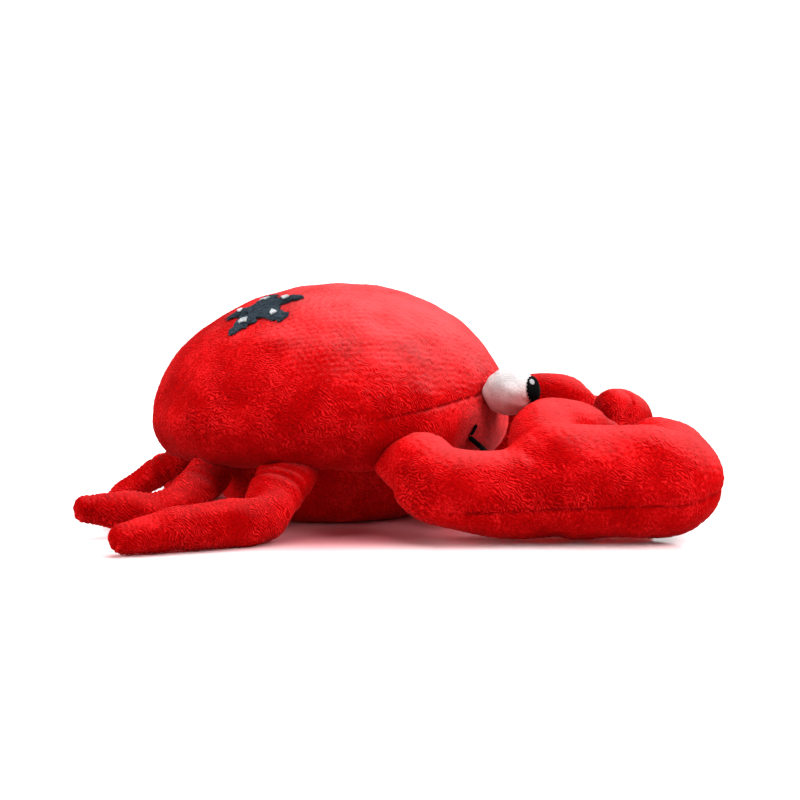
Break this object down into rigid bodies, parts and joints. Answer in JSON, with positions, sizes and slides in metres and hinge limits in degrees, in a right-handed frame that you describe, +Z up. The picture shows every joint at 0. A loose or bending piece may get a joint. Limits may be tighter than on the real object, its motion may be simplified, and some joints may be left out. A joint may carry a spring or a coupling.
{
  "type": "plush crab",
  "caption": "Stuffed toy crab with a domed body, pincer arms, short legs, ball eyes, a stitched smile and a starfish patch; it lies flat on its belly.",
  "frame": {"origin": "middle of the flat belly that the crab rests on", "axes": "+X the way the crab faces, +Y its left, +Z up"},
  "size_m": [0.3044, 0.2697, 0.116],
  "materials": {
    "red_plush": "short-pile plush, matte with a soft sheen",
    "white_plush": "short-pile plush, matte",
    "black_thread": "satin stitch embroidery",
    "grey_thread": "satin stitch embroidery",
    "slate_felt": "short-pile plush applique, matte"
  },
  "bodies": {
    "root": {"body": "red_plush", "right_claw": "red_plush", "left_claw": "red_plush", "right_leg_front": "red_plush", "right_leg_middle": "red_plush", "right_leg_rear": "red_plush", "left_leg_front": "red_plush", "left_leg_middle": "red_plush", "left_leg_rear": "red_plush", "right_eye": "white_plush", "right_pupil": "black_thread", "right_glint": "grey_thread", "right_mouth_tick": "black_thread", "left_eye": "white_plush", "left_pupil": "black_thread", "left_glint": "grey_thread", "left_mouth_tick": "black_thread", "mouth_line": "black_thread", "patch_starfish": "slate_felt", "patch_dot_1": "grey_thread", "patch_dot_2": "grey_thread", "patch_dot_3": "grey_thread", "patch_dot_4": "grey_thread", "patch_dot_5": "grey_thread"}
  },
  "joints": []
}
